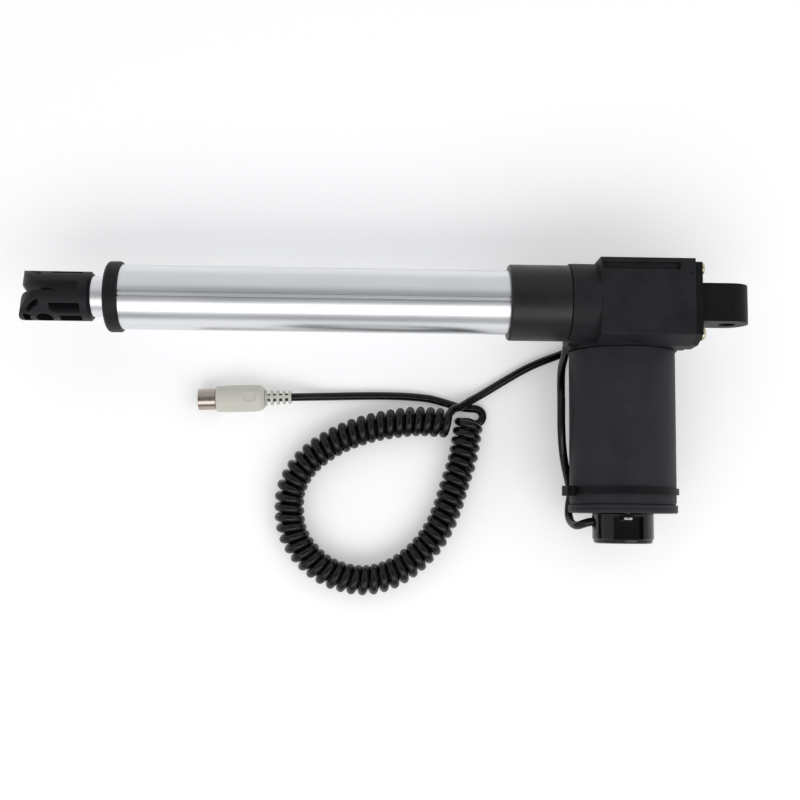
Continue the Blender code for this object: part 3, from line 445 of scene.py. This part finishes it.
def make_front_cap():
    profile = [(16.2, -346), (16.2, -354.9), (20.3, -354.9, 0.2), (20.8, -355.6), (20.8, -361.4),
               (20.2, -362.4), (19.0, -363.2, 0.6), (12.3, -363.2), (12.3, -361), (14.4, -361),
               (14.4, -346)]
    cap = turned("front_end_cap_ring", TUBE, profile, 0.35)
    roll = TUBE @ Matrix.Rotation(GROOVE_ROLL, 4, "Z")
    cut(cap, box(roll, (-22, -2.4, -364), (-20.45, 2.4, -354)))
    dress(cap, MOULDED, "housing", "front_end_cap", slot="moulded_black", bevel=0.15)
    lip = [(14.1, -356), (14.1, -360.7), (12.3, -363.6, 0.2), (12.15, -361.5), (13, -356)]
    seal = turned("rod_wiper_lip", TUBE, lip, 0.15)
    dress(seal, RUBBER, "housing", "rod_wiper_seal", slot="seal_rubber")


def make_push_tube():
    profile = [(13.9, -109.5), (13.9, -115.2), (12, -115.2, 0), (12, -371.7), (10, -371.7),
               (10, -109.5)]
    tube = turned("push_tube_shell", TUBE, profile, 0.25)
    dress(tube, ROD_STEEL, "rod_end", "push_tube", slot="bright_steel")


def pocket(side, outline, depth, radius):
    """A cutter for one coring pocket of the rod end, from its outside to depth."""
    flat = FORK @ Euler((QUARTER, 0, 0)).to_matrix().to_4x4()
    low, high = sorted((-side * depth, -side * 16))
    return prism("tool", flat, [rounded(outline, radius)], low, high)


def slice_of_ring(inside, start, end):
    """An arc-shaped pocket round the front pin, between two directions in degrees."""
    outer = arc(12.5, math.radians(start), math.radians(end), 8, (0, PIN_X))
    inner = arc(inside, math.radians(end), math.radians(start), 8, (0, PIN_X))
    return [point for side in (outer, inner)
            for point in (side[0], *[(*p, 0) for p in side[1:-1]], side[-1])]


def rectangle(u_low, u_high, x_low, x_high):
    return [(u_low, x_low), (u_high, x_low), (u_high, x_high), (u_low, x_high)]


def make_rod_end():
    profile = [(0, -352), (9.7, -352), (9.7, -372, 0), (13.2, -372), (14.5, -373.2), (14.5, -415),
               (0, -415)]
    body = turned("rod_end_clevis", FORK, profile, 0.3, 130)
    flat = FORK @ Euler((QUARTER, 0, 0)).to_matrix().to_4x4()
    nose = [(-20, PIN_X), (-20, -422), (20, -422), (20, PIN_X)]
    nose += arc(14.8, 0, -math.pi, 40, (0, PIN_X))
    tools = [prism("tool", flat, [nose], -20, 20)]
    tools.append(box(FORK, (-20, -3, -425), (20, 3, -378.6)))
    mouth = [(425, -16), (425, 16), (410.6, 2.9), (410.6, -2.9)]
    tools.append(prism("tool", FORK @ Matrix.Rotation(QUARTER, 4, "Y"), [mouth], -20, 20))
    tools.append(rod(flat @ Matrix.Translation((0, PIN_X * MM, 0)), PIN_HOLE_R, -20, 20))
    for side in (1, -1):
        for tilt in (1, -1):
            outline = [(tilt * 5.6, -391.9), (tilt * 8.0, -394.8), (tilt * 10.9, -394.8),
                       (tilt * 10.9, -377.3), (tilt * 5.6, -377.3)]
            tools.append(pocket(side, outline[::tilt], 7.0, 0.5))
            middle = -90 + tilt * 56.7
            tools.append(pocket(side, slice_of_ring(9.9, middle - 22, middle + 22), 5.0, 0.6))
        tools.append(pocket(side, slice_of_ring(8.3, -90 - 24, -90 + 24), 5.0, 0.6))
        tools.append(pocket(side, rectangle(-3.4, 3.4, -389.8, -377.1), 8.0, 0.6))
        tools.append(pocket(side, circle_at(0, -362.0, 2.3), 4.0, 0))
    cut(body, *tools)
    dress(body, NYLON, "rod_end", "front_clevis", slot="rod_end_nylon", bevel=0.28)
    pin = turned("rod_end_cross_pin", flat @ Matrix.Translation((0, -0.362, 0)),
                 [(0, 11.7), (2, 11.7), (2, -11.7), (0, -11.7)], 0.3, 32)
    dress(pin, STEEL, "rod_end", "clevis_cross_pin", slot="bright_steel")


def circle_at(x, y, radius):
    return [(x + a, y + b) for a, b in circle(radius, 32)]


# Gearbox

def make_sleeve():
    profile = [(22.5, -93.3), (22.5, -127.4), (21.9, -128.6, 0.3), (19.3, -128.6), (19.3, -93.3)]
    sleeve = turned("tube_sleeve_shell", TUBE, profile, 0.4, 128)
    for side in (0, math.pi):
        roll = TUBE @ Matrix.Rotation(side, 4, "Z")
        cut(sleeve, box(roll, (22.38, -0.12, -130), (23, 0.12, -90)))
    dress(sleeve, SLEEVE, "housing", "tube_sleeve", slot="moulded_black")


def make_gearbox():
    side, top, edge, low, chamfer = 22.5, 23.7, -21.1, -25.8, 9.0
    section = [(-side, top), (side, top), (side, edge), (chamfer, low), (-chamfer, low),
               (-side, edge)]
    housing = prism("gearbox_casting", TUBE, [rounded(section, 0.9)], -77.2, -22.4)
    collar = turned("tool", TUBE, [(0, -73), (21, -73), (21, -77), (23.5, -77), (23.5, -93, 0.5),
                                   (0, -93)], 0.3, 130)
    seat = turned("tool", MOTOR, [(0, -19), (32, -19), (33, -20), (33, -25.6), (0, -25.6)], 0.3,
                  128)
    bulge = turned("tool", MOTOR, [(0, 21), (11, 21, 1), (11, -20), (0, -20)], 0.3)
    join(housing, collar, seat, bulge, make_flare())
    cut(housing, turned("tool", TUBE, [(0, -21), (18.3, -21), (18.3, -66.5), (14.6, -66.5),
                                       (14.6, -76.3), (12, -76.3), (12, -79.3), (19.3, -79.3),
                                       (19.3, -95), (0, -95)], 0),
        turned("tool", MOTOR, [(0, 19.3), (5.3, 19.3), (5.3, 13), (7.5, 13), (7.5, -22.6),
                               (12.4, -22.6), (12.4, -28), (0, -28)], 0, 64),
        box(TUBE, (-30, 16.7, -75.9), (-20.3, 20.9, -31.2)),
        box(TUBE, (-30, 14.4, -25.2), (-22.0, 15.2, -23.6)))
    dress(housing, CASTING, "housing", "gearbox_housing", slot="moulded_black", bevel=0.45)


def make_flare():
    """The web that runs from the collar down to the motor seat on the front side."""
    outline = [(-92.7, -12), (-75.7, -12), (-75.7, -22), (-80, -24.5), (-86, -25.6), (-89.8, -25.6),
               (-91.5, -23), (-92.3, -18)]
    return prism("tool", BASE, [rounded(outline, 1.0)], -22.0, -8.0)


def make_rear_plate():
    outline = [(-21, 22.2, 2.2), (21, 22.2, 2.2), (21, -20.5), (8.5, -25.2), (-8.5, -25.2),
               (-21, -20.5)]
    plate = prism("rear_plate_with_lug", TUBE, [rounded(outline, 1.0)], -22.1, -18.0)
    lug = arc(12.3, -QUARTER, QUARTER, 48) + [(-20.6, 12.3), (-20.6, -12.3)]
    join(plate, prism("tool", REAR_PIN, [lug], -11.3, 11.3),
         turned("tool", TUBE, [(18, -21.6), (18, -44), (16.3, -44), (16.3, -21.6)], 0))
    tools = [rod(REAR_PIN, PIN_HOLE_R, -15, 15)]
    for side in (-1, 1):
        low, high = sorted((side * 5.0, side * 13.0))
        tools.append(box(REAR_PIN, (-18.4, -7, low), (-14.6, 7, high)))
    tools += [rod(TUBE, 2.2, -26, -17, at) for at in PLATE_SCREWS]
    cut(plate, *tools)
    dress(plate, PLATE, "housing", "rear_mount_plate", slot="moulded_black", bevel=0.55)
    for number, at in enumerate(PLATE_SCREWS, 1):
        matrix = TUBE @ Matrix.Translation((at[0] * MM, at[1] * MM, 0))
        make_pan_screw(f"plate_screw_{number}", matrix @ Matrix.Rotation(number, 4, "Z"),
                       f"rear_plate_screw_{number}")


def make_pan_screw(name, matrix, node):
    head = [(0, -14.9, 0), (1.8, -15.0, 2), (3.3, -15.7, 1.5), (4.0, -16.7, 0.6), (4.0, -17.7),
            (1.9, -17.7), (1.9, -34), (0, -34)]
    screw = turned(name, matrix, head, 0.15, 48)
    cut(screw, box(matrix, (-1.9, -0.35, -16.6), (1.9, 0.35, -14)),
        box(matrix, (-0.35, -1.9, -16.6), (0.35, 1.9, -14)))
    dress(screw, ZINC, "housing", node, slot="yellow_zinc", bevel=0.1)


# Motor

def make_motor():
    cover = [(COVER_R, -25.9, 0.8), (COVER_R, -116.6), (31.4, -117.0), (31.4, -118.0), (29.2, -118),
             (29.2, -28.4), (12.6, -28.4), (12.6, -25.9)]
    shell = turned("motor_cover_shell", MOTOR, cover, 0.25, 160)
    dress(shell, COVER, "housing", "motor_cover", slot="motor_cover_black")
    plate = [(8, -112), (8, -118.3), (32.4, -118.3), (32.4, -120.2), (32.1, -120.4),
             (32.1, -120.7), (32.4, -120.9), (32.4, -122.4), (31.6, -123), (0, -123), (0, -119),
             (5.3, -119), (5.3, -112)]
    end_plate = turned("motor_end_plate_disc", MOTOR, plate, 0.2, 160)
    dress(end_plate, COVER, "housing", "motor_end_plate", slot="moulded_black")
    make_end_cap()
    make_tie()


def make_end_cap():
    profile = [(18.25, -123.3), (18.25, -138.2), (17.7, -138.8, 0.2), (17.4, -140.4),
               (16.6, -141), (0, -141), (0, -138.5), (9.5, -138.5), (9.5, -123.3)]
    cap = turned("motor_end_cap_shell", MOTOR, profile, 0.4, 128)
    left = BASE @ Matrix.Translation((0, -0.128, -0.021)) @ Matrix.Rotation(QUARTER, 4, "Y")
    cut(cap, rod(left, 3.8, -77, -65), box(MOTOR, (-8.8, -25, -138.4), (8.8, -10.3, -125.2)),
        rod(MOTOR, 1.8, -127, -122, (0, -14)))
    join(cap, box(MOTOR, (-3.4, -15.6, -126.4), (-2.4, -10.0, -123.6)),
         box(MOTOR, (2.4, -15.6, -126.4), (3.4, -10.0, -123.6)))
    dress(cap, GLOSS, "housing", "motor_end_cap", slot="gloss_black", bevel=0.3)
    head = [(0, -119.7), (1.5, -119.7), (1.5, -125.5), (3.2, -125.5), (3.2, -126.9),
            (2.2, -127.7, 1), (0, -127.7)]
    matrix = MOTOR @ Matrix.Translation((0, -0.014, 0))
    screw = turned("end_cap_pan_screw", matrix, head, 0.3, 48)
    cut(screw, box(matrix, (-1.7, -0.3, -128), (1.7, 0.3, -126.9)),
        box(matrix, (-0.3, -1.7, -128), (0.3, 1.7, -126.9)))
    dress(screw, STEEL, "housing", "end_cap_screw", slot="bright_steel", bevel=0.08)


def hull_outline(circles, grow, steps):
    """Outline of a band stretched round some circles of (x, y, radius)."""
    loop = []
    for i in range(steps):
        angle = 2 * math.pi * i / steps
        ux, uy = math.cos(angle), math.sin(angle)
        x, y, r = max(circles, key=lambda c: c[0] * ux + c[1] * uy + c[2])
        loop.append((x + (r + grow) * ux, y + (r + grow) * uy))
    return loop


def make_tie():
    angle = math.radians(216)
    cord_r = COVER_R + CORD_R / MM + 0.45
    circles = [(0, 0, 32.0), (cord_r * math.cos(angle), -cord_r * math.sin(angle), 3.1)]
    loops = [hull_outline(circles, 1.2, 160), hull_outline(circles, 0.0, 160)]
    tie = prism("cable_tie_band", MOTOR, loops, -112.0, -108.4)
    turn = MOTOR @ Matrix.Rotation(-math.radians(76), 4, "Z")
    head = box(turn, (-3, -38, -113.2), (5, -32.5, -107.2))
    tail = box(turn, (4.6, -36.4, -111.8), (8.4, -35.2, -108.6))
    join(tie, head, tail)
    cut(tie, box(turn, (-2.2, -36.6, -112.2), (-0.9, -35.0, -106)))
    dress(tie, PLATE, "housing", "cable_tie", slot="gloss_black", bevel=0.3)


# Plug

def make_plug():
    """Moulded plug with its ribbed strain relief, metal shell and five pins."""
    body = [(0, 30), (7.9, 30, 0.8), (8.3, 26), (8.4, 20), (8.4, 7), (7.9, 2.2, 2), (5.8, 0, 1),
            (0, 0)]
    handle = turned("plug_handle", PLUG, body, 0.5, 96)
    squash = Matrix.Diagonal((0.96, 1.0, 1.0, 1.0))
    handle.data.transform(squash)
    grip = turned("tool", PLUG @ Matrix.Translation((0.0083, 0, 0.0092)) @
                  Euler((0, QUARTER, 0)).to_matrix().to_4x4(),
                  [(0, 1.2), (3.3, 1.2), (3.0, -1.1), (0, -1.1)], 0.3, 64)
    grip.data.transform(Matrix.Diagonal((2.1 / 1.6, 1, 1, 1)))
    cut(handle, grip)
    dress(handle, PLUG_GREY, "housing", "plug_body", slot="plug_grey", bevel=0.2)
    return [handle, make_relief(), make_shell(), make_insert()]


def make_relief():
    pitch, width = 3.7, 2.0
    first = turned("plug_cord_relief", PLUG, [(5.2, -0.3), (5.2, -1.2), (2.8, -1.2), (2.8, -0.3)],
                   0.3, 64)
    rings = []
    for number in range(1, 5):
        middle = -0.6 - pitch * number
        radius = 5.0 - 0.2 * number
        top, bottom = middle + width / 2, middle - width / 2
        ring = [(radius, top), (radius, bottom), (2.8, bottom), (2.8, top)]
        rings.append(turned("tool", PLUG, ring, 0.7, 64))
    for side in (1, -1):
        low, high = sorted((side * 2.8, side * 4.1))
        rings.append(box(PLUG, (low, -0.9, -16.0), (high, 0.9, -0.5)))
    join(first, *rings)
    return dress(first, PLUG_GREY, "housing", "plug_strain_relief", slot="plug_grey", bevel=0.25)


def make_shell():
    profile = [(6.6, 30.3), (6.6, 41), (6.05, 41), (6.05, 30.3)]
    shell = turned("plug_metal_shell", PLUG, profile, 0.2, 96)
    cut(shell, box(PLUG, (-7, -1.1, 38.5), (-5, 1.1, 42)))
    return dress(shell, NICKEL, "housing", "plug_shell", slot="nickel")


def make_insert():
    insert = turned("plug_pin_insert", PLUG, [(0, 33), (5.6, 33), (5.6, 30.3), (0, 30.3)], 0.2, 64)
    pins = []
    for number in range(5):
        angle = math.radians(-90 + 45 * number)
        at = Matrix.Translation((3.75 * math.cos(angle) * MM, 3.75 * math.sin(angle) * MM, 0))
        pins.append(turned("tool", PLUG @ at, [(0, 39.5), (0.7, 39.5, 0.5), (0.7, 32), (0, 32)],
                           0, 24))
    join(insert, *pins)
    return dress(insert, NYLON, "housing", "plug_insert", slot="rod_end_nylon", bevel=0.1)


# Parts that stay as the CAD made them

def paint_kept_nodes():
    finishes = {
        "bearing_plastic": WHITE, "bright_steel": STEEL, "yellow_zinc": ZINC,
        "sintered_bronze": BRONZE, "enamelled_copper": COPPER, "ferrite": FERRITE,
        "carbon": CARBON, "circuit_board": BOARD, "moulded_black": MOULDED,
        "rod_end_nylon": NYLON,
    }
    slots = {row["node"]: row["material_slot"] for row in frame["record"]["subparts"]}
    for name, obj in frame["nodes"].items():
        if obj.hide_render:
            continue
        obj.data.materials.clear()
        obj.data.materials.append(finishes[slots[name]])


# Stage

def make_camera():
    camera = bpy.data.objects.new("camera", bpy.data.cameras.new("camera"))
    bpy.context.scene.collection.objects.link(camera)
    camera.data.lens = 53.78
    camera.data.clip_start = 0.01
    camera.data.clip_end = 20
    turn = (Matrix.Rotation(0.1037, 4, "X") @ Matrix.Rotation(-0.02432, 4, "Y")
            @ Matrix.Rotation(0.01296, 4, "Z"))
    camera.matrix_world = BASE @ Matrix.Translation((-0.20865, -0.13102, 0.69517)) @ turn
    bpy.context.scene.camera = camera


def make_light(name, at, aim, size, power):
    light = bpy.data.lights.new(name, "AREA")
    light.shape = "RECTANGLE"
    light.size, light.size_y = size
    light.energy = power
    obj = bpy.data.objects.new(name, light)
    bpy.context.scene.collection.objects.link(obj)
    obj.location = at
    obj.rotation_euler = (Vector(aim) - Vector(at)).to_track_quat("-Z", "Y").to_euler()


def make_stage():
    bm = bmesh.new()
    bmesh.ops.create_grid(bm, x_segments=1, y_segments=1, size=6)
    floor = from_bmesh("studio_floor", Matrix.Identity(4), bm)
    paper = surface("floor_white", (0.9, 0.9, 0.9), 0.8, grain=2, depth=0.0, vary=0.0,
                    rough_vary=0.0)
    paper.node_tree.nodes["Principled BSDF"].inputs["Emission Strength"].default_value = 0.24
    floor.data.materials.append(paper)
    world = bpy.data.worlds.new("studio")
    world.use_nodes = True
    tree = world.node_tree
    sky = tree.nodes["Background"]
    sky.inputs["Color"].default_value = (0.97, 0.98, 1, 1)
    coords = add_node(tree, "ShaderNodeTexCoord", {}).outputs["Generated"]
    split = add_node(tree, "ShaderNodeSeparateXYZ", {"Vector": coords}).outputs
    overhead = spread(tree, split["Z"], 0.80, 0.25, 0.80, 0.98)
    near = spread(tree, split["Y"], 0.45, 1.0, -0.95, -0.6)
    strength = add_node(tree, "ShaderNodeMath", {0: overhead, 1: near}, operation="MULTIPLY")
    tree.links.new(strength.outputs[0], sky.inputs["Strength"])
    bpy.context.scene.world = world
    bpy.context.scene.view_settings.view_transform = "Standard"
    make_light("key_softbox", (0.2, -0.95, 1.15), (0, 0, 0), (2.2, 0.85), 10.5)


make_camera()
make_stage()
make_cord(make_plug())
make_outer_tube()
make_front_cap()
make_push_tube()
make_rod_end()
make_sleeve()
make_gearbox()
make_rear_plate()
make_motor()
paint_kept_nodes()
